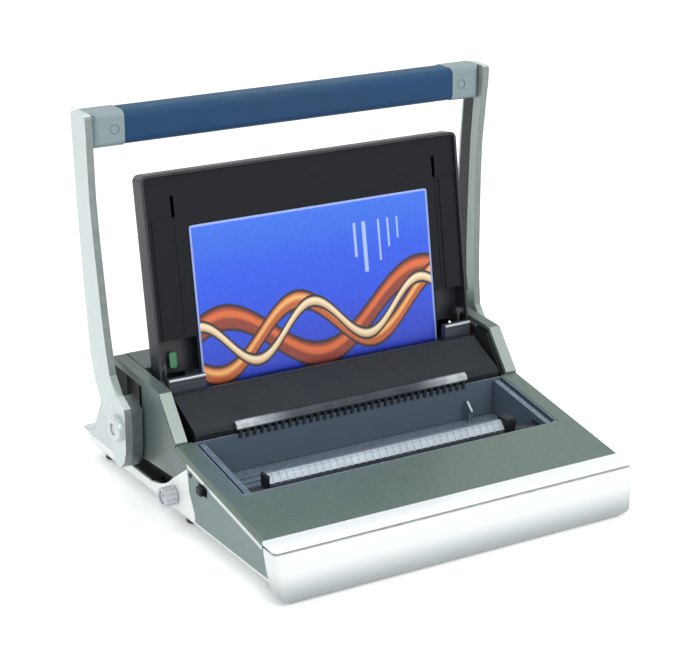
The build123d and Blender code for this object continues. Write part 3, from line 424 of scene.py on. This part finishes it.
FINISH = {
    "base_tray": white_plastic, "rubber_feet": foot_rubber, "foot_screws": steel, "front_fascia": fascia_gloss, "nose_trim": white_gloss,
    "deck_cover": olive, "deck_edge_strips": silver_trim, "side_panel_left": blue_grey, "side_panel_right": blue_grey, "panel_screws": screw_dark,
    "well_tray": well_dark, "closer_anvil": dark_metal, "wire_end_stop": steel, "paper_rest": black_plastic, "wire_comb_rail": comb_steel,
    "rear_guide_rail": rail_black, "die_plate": tool_steel, "punch_guide_plate": tool_steel, "throat_spacer": dark_metal,
    "punch_guides": tool_steel, "side_frame_left": dark_metal, "side_frame_right": dark_metal, "shaft_bushes": bronze,
    "frame_rails": dark_metal, "bay_liners": bay_plastic, "cheek_left": olive_dark, "cheek_right": olive_dark, "cheek_trims": trim_silver,
    "rear_roof": olive_dark, "rear_cover": rear_pale, "rail_end_strips": strip_steel, "lid_hinge_pins": steel, "dial_boss": white_plastic,
    "return_springs": steel, "handle_arm_left": arm_silver, "handle_arm_right": arm_silver, "arm_liners": liner_dark,
    "hub_caps": cap_silver, "hub_bolts": steel, "cross_shaft": shaft_steel, "punch_cams": tool_steel, "closer_cams": tool_steel,
    "handle_corners": corner_grey, "crossbar_tube": shaft_steel, "handle_grip": blue_grip, "pressure_bar": tool_steel, "punch_pins": tool_steel,
    "closing_bar": bar_silver, "closing_bar_ends": black_plastic, "closer_carrier": dark_metal, "closer_push_rods": dark_metal,
    "lid_shell": lid_black, "lid_liner": lid_inner, "guide_card": lid_inner, "lid_bumpers": foot_rubber, "corner_clip": green_plastic,
    "waste_drawer": white_plastic, "wire_size_dial": dial_grey, "margin_lever": black_plastic,
}


# ---- fine rounding of the hard edges --------------------------------------------------------------
def weld_group():
    g = bpy.data.node_groups.new("weld_seams", "GeometryNodeTree")
    g.interface.new_socket("Geometry", in_out="INPUT", socket_type="NodeSocketGeometry")
    g.interface.new_socket("Geometry", in_out="OUTPUT", socket_type="NodeSocketGeometry")
    i = g.nodes.new("NodeGroupInput")
    o = g.nodes.new("NodeGroupOutput")
    w = g.nodes.new("GeometryNodeMergeByDistance")
    w.inputs["Distance"].default_value = 2e-6
    g.links.new(i.outputs[0], w.inputs["Geometry"])
    g.links.new(w.outputs[0], o.inputs[0])
    return g


def crease_group(deg):
    g = bpy.data.node_groups.new("creases_by_angle", "GeometryNodeTree")
    g.interface.new_socket("Geometry", in_out="INPUT", socket_type="NodeSocketGeometry")
    g.interface.new_socket("Geometry", in_out="OUTPUT", socket_type="NodeSocketGeometry")
    i = g.nodes.new("NodeGroupInput")
    o = g.nodes.new("NodeGroupOutput")
    ang = g.nodes.new("GeometryNodeInputMeshEdgeAngle")
    cmp_ = g.nodes.new("FunctionNodeCompare")
    cmp_.data_type = "FLOAT"
    cmp_.operation = "GREATER_THAN"
    g.links.new(ang.outputs[0], cmp_.inputs[0])
    cmp_.inputs[1].default_value = math.radians(deg)
    f = g.nodes.new("GeometryNodeSetShadeSmooth")
    f.domain = "FACE"
    e = g.nodes.new("GeometryNodeSetShadeSmooth")
    e.domain = "EDGE"
    e.inputs["Shade Smooth"].default_value = False
    g.links.new(i.outputs[0], f.inputs[0])
    g.links.new(f.outputs[0], e.inputs[0])
    g.links.new(cmp_.outputs[0], e.inputs["Selection"])
    g.links.new(e.outputs[0], o.inputs[0])
    return g


WELD = weld_group()
CREASE = crease_group(42)


HOLED = {"lid_liner", "die_plate", "waste_drawer", "margin_lever"}


def weld_only(o):
    a = o.modifiers.new("weld", "NODES")
    a.node_group = WELD
    c = o.modifiers.new("creases", "NODES")
    c.node_group = CREASE


def round_edges(o, width_mm, dissolve=True, segments=2, angle=28):
    a = o.modifiers.new("weld", "NODES")
    a.node_group = WELD
    if dissolve:
        d = o.modifiers.new("planar", "DECIMATE")
        d.decimate_type = "DISSOLVE"
        d.angle_limit = math.radians(0.4)
    b = o.modifiers.new("edge_radius", "BEVEL")
    b.width = width_mm / 1000.0
    b.segments = segments
    b.limit_method = "ANGLE"
    b.angle_limit = math.radians(angle)
    b.use_clamp_overlap = True
    b.miter_outer = "MITER_ARC"
    c = o.modifiers.new("creases", "NODES")
    c.node_group = CREASE
    w = o.modifiers.new("flat_faces", "WEIGHTED_NORMAL")
    w.keep_sharp = True
    w.weight = 60


ROUND = {
    "base_tray": 0.5, "front_fascia": 0.7, "nose_trim": 0.4, "deck_cover": 0.6, "side_panel_left": 0.4, "side_panel_right": 0.4,
    "well_tray": 0.5, "closer_anvil": 0.3, "paper_rest": 0.6, "wire_comb_rail": 0.25, "rear_guide_rail": 0.5,
    "cheek_left": 0.8, "cheek_right": 0.8, "cheek_trims": 0.3, "rear_roof": 0.5, "rear_cover": 0.7, "handle_arm_left": 0.3, "handle_arm_right": 0.3,
    "arm_liners": 0.5, "closing_bar": 0.2, "closer_carrier": 0.3, "lid_shell": 0.5, "lid_liner": 0.3, "waste_drawer": 0.5,
    "margin_lever": 0.4, "rail_end_strips": 0.3, "corner_clip": 0.3, "hub_caps": 0.4, "wire_end_stop": 0.3, "bay_liners": 0.4, "side_frame_left": 0.3, "side_frame_right": 0.3,
    "handle_corners": 0.5, "die_plate": 0.1, "closer_push_rods": 0.3, "lid_bumpers": 0.3, "deck_edge_strips": 0.2,
}

for name, o in N.items():
    m = FINISH[name]
    for s in o.material_slots:
        s.material = m.m
    if name in ROUND:
        round_edges(o, ROUND[name], dissolve=name not in HOLED)
    elif name != "guide_card":
        weld_only(o)


# ---- the printed guide sheet in the lid ------------------------------------------------------------------
LEAN = math.radians(9.0)
LID_O = Vector((0.0, 0.084 - 0.012, 0.146))
UP = Vector((0.0, math.sin(LEAN), math.cos(LEAN)))
OUT = Vector((0.0, -math.cos(LEAN), math.sin(LEAN)))


def on_lid(x, u, w):
    return LID_O + Vector((x, 0, 0)) + UP * u + OUT * w


def sheet_material():
    """Printed card: blue field with a pale border, plain pale bars and waving ribbons along the foot."""
    m = Mat("printed_card")
    uvn = m.new("ShaderNodeUVMap")
    uvn.uv_map = "print"
    u, v, _ = m.split(uvn.outputs[0])          # millimetres across and up the sheet, / 100
    # blue field, lighter over the top third
    field = m.ramp(m.math("DIVIDE", v, 1.74), [(0.0, lin(8, 44, 176)), (0.40, lin(10, 66, 208)), (0.68, lin(14, 76, 210)), (0.84, lin(26, 90, 208)), (1.0, lin(36, 98, 210))])

    def band(val, centre, half, soft=0.006):
        d = m.math("ABSOLUTE", m.math("SUBTRACT", val, centre))
        return m.remap(d, half - soft, half + soft, 1.0, 0.0)

    def wave(amp, k, phase, mid, drift=0.0):
        s = m.math("SINE", m.math("ADD", m.math("MULTIPLY", u, k), phase))
        s = m.math("MULTIPLY", s, amp)
        return m.math("ADD", m.math("ADD", s, mid), m.math("MULTIPLY", u, drift))

    col = field
    # plain ribbons that wave from edge to edge over the lower half
    for amp, k, ph, mid, drift, half, dark, main, light in (
        (0.34, 2.5, 0.9, 0.34, 0.07, 0.115, lin(30, 6, 6), lin(132, 44, 12), lin(206, 96, 30)),
        (0.31, 3.3, 3.9, 0.38, 0.05, 0.080, lin(26, 6, 8), lin(178, 84, 24), lin(230, 168, 92)),
        (0.25, 4.5, 1.6, 0.40, 0.04, 0.040, lin(24, 6, 10), lin(214, 178, 130), lin(240, 226, 196)),
    ):
        w = wave(amp, k, ph, mid, drift)
        col = m.mix(band(v, w, half + 0.034), col, dark)
        col = m.mix(band(v, w, half, 0.012), col, main)
        col = m.mix(band(v, m.math("ADD", w, half * 0.35), half * 0.35, 0.02), col, light)
    # plain pale bars, top right
    for cx, top, bot, half in ((2.00, 1.48, 1.10, 0.016), (2.12, 1.48, 0.92, 0.024), (2.31, 1.48, 1.02, 0.012), (2.43, 1.48, 1.16, 0.012), (2.55, 1.48, 1.24, 0.010)):
        b = m.math("MULTIPLY", band(u, cx, half), band(v, (top + bot) / 2, (top - bot) / 2))
        col = m.mix(m.math("MULTIPLY", b, 0.7), col, lin(180, 200, 238))
    # unprinted margin along the left, right and top
    dx = m.math("MINIMUM", u, m.math("SUBTRACT", 2.968, u))
    dy = m.math("SUBTRACT", 1.738, v)
    edge = m.remap(m.math("MINIMUM", dx, dy), 0.018, 0.026, 1.0, 0.0)
    col = m.mix(edge, col, lin(140, 158, 214))
    # paper fibre and print screen
    fib = m.noise(900.0, 4.0, 0.7)
    col = m.mix(m.remap(fib, 0.35, 0.7, 0.0, 0.08), col, lin(220, 228, 244))
    m.put(m.b.inputs["Base Color"], col)
    m.put(m.b.inputs["Roughness"], m.remap(m.noise(60.0, 4.0, 0.6), 0.3, 0.7, 0.30, 0.42))
    m.b.inputs["Specular IOR Level"].default_value = 0.35
    m.b.inputs["Coat Weight"].default_value = 0.08
    m.b.inputs["Coat Roughness"].default_value = 0.18
    m.put(m.b.inputs["Normal"], m.bump(fib, 0.15, 0.00004))
    return m


def make_sheet():
    """The card as a thin sheet with rounded top corners and a slight bow."""
    x0, x1, u0, u1 = -0.1435, 0.1533, -0.0266, 0.1472
    w0, th = 0.0066 + 0.00005, 0.00045
    nx, nu, r = 66, 40, 0.002
    bm = bmesh.new()
    uv = bm.loops.layers.uv.new("print")

    def place(i, j, back):
        x = x0 + (x1 - x0) * i / nx
        u = u0 + (u1 - u0) * j / nu
        # round the two upper corners
        dx = min(x - x0, x1 - x)
        du = u1 - u
        if dx < r and du < r:
            cx, cu = (x0 + r if x < 0 else x1 - r), u1 - r
            d = Vector((x - cx, u - cu))
            if d.length > 0:
                k = r / max(abs(d.x), abs(d.y)) * max(abs(d.x), abs(d.y)) / d.length
                q = d * min(1.0, k)
                x, u = cx + q.x, cu + q.y
        # the free side edges stand off the liner a little
        s = abs(2 * (x - x0) / (x1 - x0) - 1)
        t = (u - u0) / (u1 - u0)
        bow = 0.0009 * s ** 6 * (0.25 + 0.75 * t) + 0.0007 * math.sin(math.pi * t) * (1.0 - s * s)
        ripple = 0.00018 * math.sin(x * 38.0) * math.sin(u * 44.0)
        w = w0 + bow + max(0.0, ripple) + (0.0 if back else th)
        return x, u, w

    front = [[bm.verts.new(on_lid(*place(i, j, False))) for j in range(nu + 1)] for i in range(nx + 1)]
    rear = [[bm.verts.new(on_lid(*place(i, j, True))) for j in range(nu + 1)] for i in range(nx + 1)]

    def face(vs, keys):
        f = bm.faces.new(vs)
        f.smooth = True
        for lp, (i, j) in zip(f.loops, keys):
            x, u, _ = place(i, j, False)
            lp[uv].uv = ((x - x0) * 10.0, (u - u0) * 10.0)
        return f

    for i in range(nx):
        for j in range(nu):
            k = [(i, j), (i + 1, j), (i + 1, j + 1), (i, j + 1)]
            face([front[a][b] for a, b in k], k)
            k2 = k[::-1]
            face([rear[a][b] for a, b in k2], k2)
    rim = [(i, 0) for i in range(nx)] + [(nx, j) for j in range(nu)] + [(i, nu) for i in range(nx, 0, -1)] + [(0, j) for j in range(nu, 0, -1)]
    for n in range(len(rim)):
        a, b = rim[n], rim[(n + 1) % len(rim)]
        f = bm.faces.new([front[b[0]][b[1]], front[a[0]][a[1]], rear[a[0]][a[1]], rear[b[0]][b[1]]])
        for lp, (i, j) in zip(f.loops, (b, a, a, b)):
            lp[uv].uv = (0.0, 0.0)
    bmesh.ops.recalc_face_normals(bm, faces=bm.faces)
    me = bpy.data.meshes.new("guide_sheet")
    bm.to_mesh(me)
    bm.free()
    o = bpy.data.objects.new("guide_sheet", me)
    scene.collection.objects.link(o)
    me.materials.append(sheet_material().m)
    return o


sheet = make_sheet()
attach(sheet, "lid")
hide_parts("guide_card")


# ---- studio ---------------------------------------------------------------------------------------------------
def floor():
    bm = bmesh.new()
    bmesh.ops.create_grid(bm, x_segments=24, y_segments=24, size=9.0)
    me = bpy.data.meshes.new("studio_floor")
    bm.to_mesh(me)
    bm.free()
    o = bpy.data.objects.new("studio_floor", me)
    scene.collection.objects.link(o)
    m = Mat("studio_floor")
    n = m.noise(3.0, 3.0, 0.5)
    m.put(m.b.inputs["Base Color"], m.ramp(n, [(0.3, (0.93, 0.935, 0.94, 1)), (0.7, (0.955, 0.955, 0.96, 1))]))
    m.put(m.b.inputs["Roughness"], m.remap(n, 0.3, 0.7, 0.55, 0.65))
    m.b.inputs["Emission Strength"].default_value = 0.12
    me.materials.append(m.m)
    return o


floor()


def area(name, loc, target, size, power, col=(1, 1, 1)):
    d = bpy.data.lights.new(name, "AREA")
    d.shape = "RECTANGLE"
    d.size, d.size_y = size
    d.energy = power
    d.color = col
    o = bpy.data.objects.new(name, d)
    scene.collection.objects.link(o)
    o.location = loc
    o.rotation_euler = (Vector(target) - Vector(loc)).to_track_quat("-Z", "Y").to_euler()
    return o


area("key_soft", (0.5, -2.7, 2.1), (0, 0, 0.1), (2.2, 1.8), 42)
area("left_soft", (-2.4, -1.4, 2.0), (0, 0, 0.12), (1.8, 1.8), 16)
area("right_soft", (2.4, -0.8, 1.6), (0, 0, 0.15), (2.0, 1.6), 6)
area("top_soft", (0.2, 0.4, 2.8), (0, 0, 0.1), (2.6, 2.2), 28)
area("back_soft", (-1.2, 2.6, 1.6), (0, 0, 0.2), (2.2, 1.6), 12)

world = bpy.data.worlds.new("studio")
scene.world = world
world.use_nodes = True
bg = next(n for n in world.node_tree.nodes if n.type == "BACKGROUND")
bg.inputs[0].default_value = (0.95, 0.96, 0.97, 1)
bg.inputs[1].default_value = 0.84
scene.view_settings.view_transform = "Standard"
